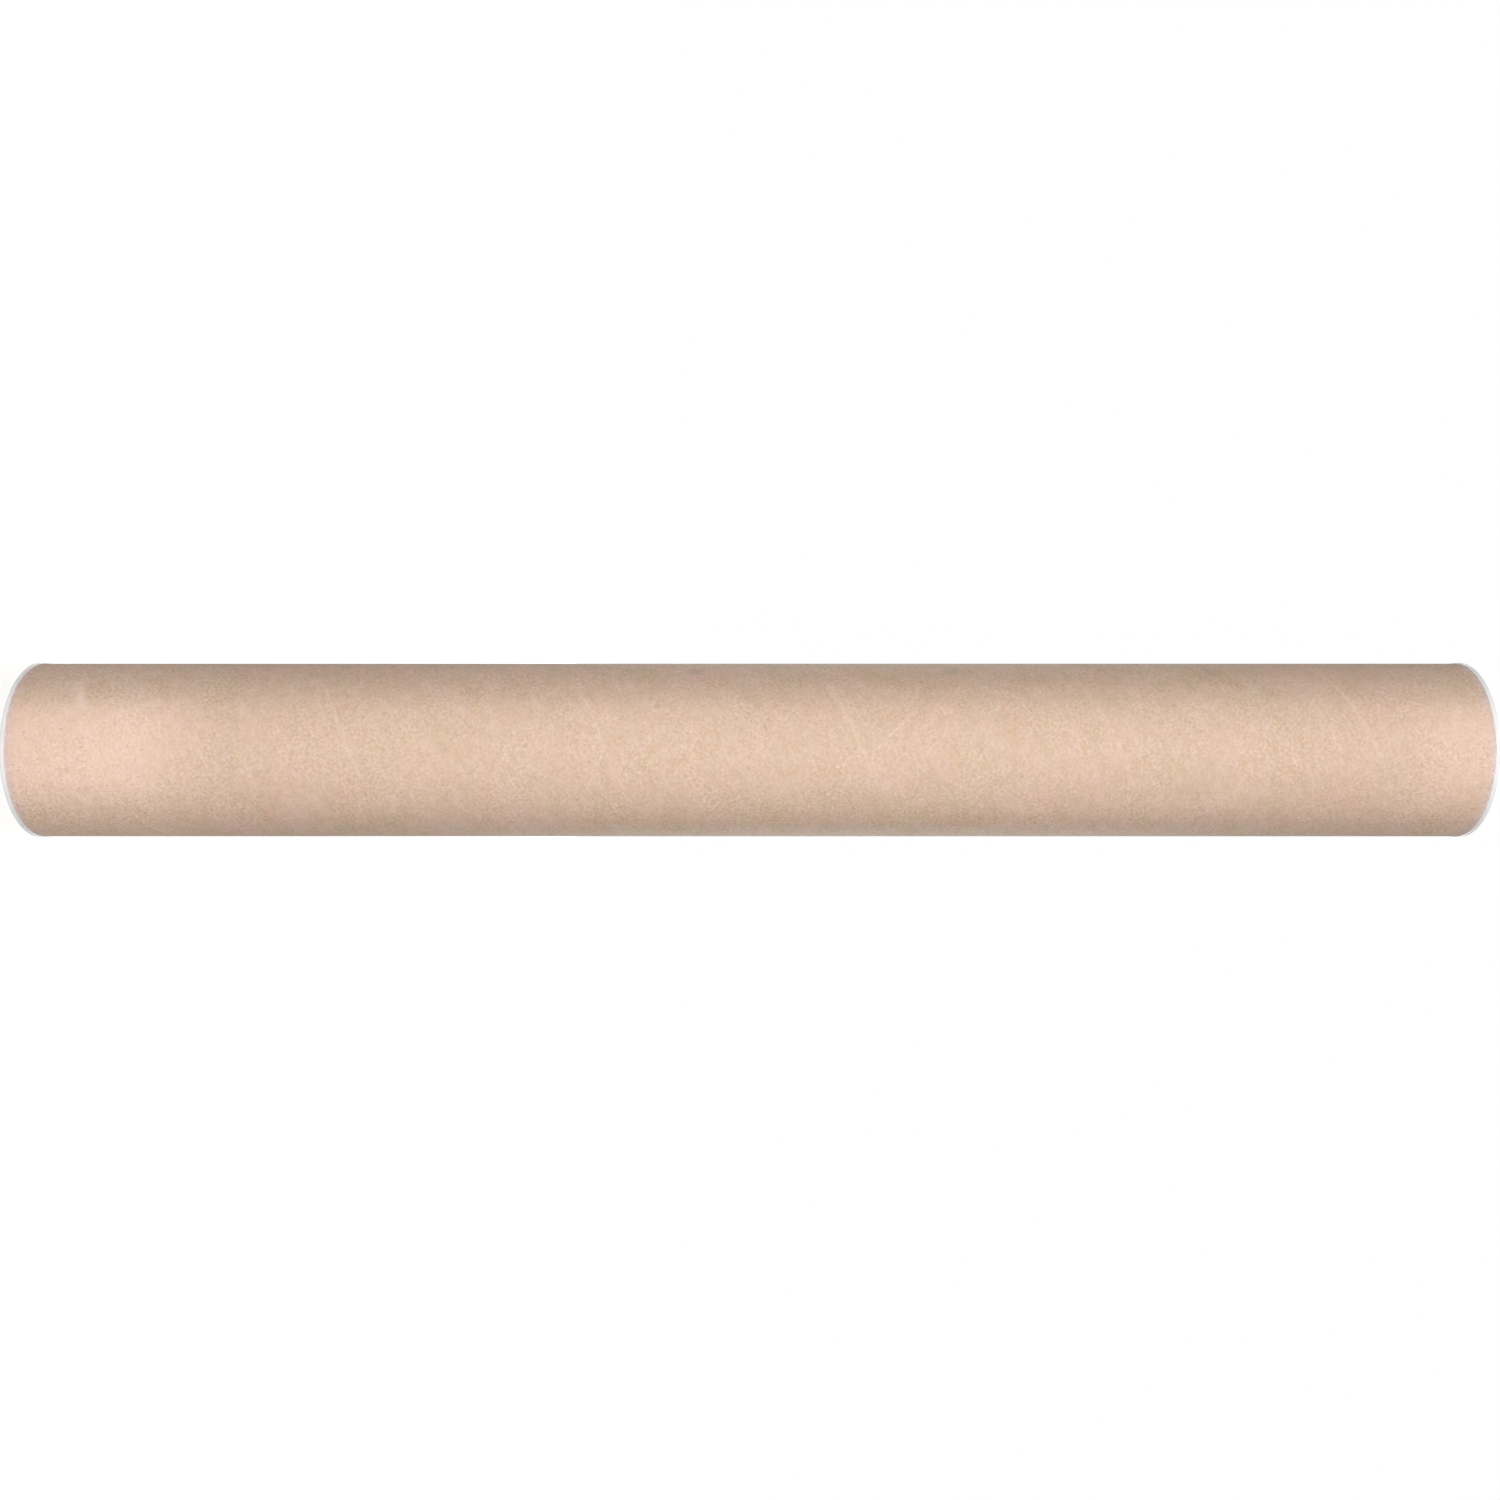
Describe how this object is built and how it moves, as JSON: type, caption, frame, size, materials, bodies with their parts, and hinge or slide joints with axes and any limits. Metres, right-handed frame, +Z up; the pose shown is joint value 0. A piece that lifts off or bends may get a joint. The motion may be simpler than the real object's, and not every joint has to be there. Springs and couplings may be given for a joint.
{
  "type": "mailing tube",
  "caption": "Spiral-wound kraft paperboard mailing tube, closed at both ends by push-in white plastic plugs with flanged rims and recessed faces.",
  "frame": {"origin": "centre of the lower plug's rim, on the plane that the tube stands on", "axes": "+Z up along the tube's axis; -Y towards the side that the picture shows, with the picture's right end at the top"},
  "size_m": [0.0806, 0.0806, 0.654],
  "materials": {
    "kraft_board": "matt brown kraft paper, spiral wound",
    "white_plastic": "satin white moulded polyethylene"
  },
  "bodies": {
    "tube": {"tube": "kraft_board"},
    "bottom_plug": {"bottom_plug": "white_plastic"},
    "top_plug": {"top_plug": "white_plastic"}
  },
  "joints": [
    {"name": "top_plug_pull", "type": "slide", "parent": "tube", "child": "top_plug", "axis": [0, 0, 1], "range_m": [0, 0.06]},
    {"name": "bottom_plug_pull", "type": "slide", "parent": "tube", "child": "bottom_plug", "axis": [0, 0, -1], "range_m": [0, 0.06]}
  ]
}
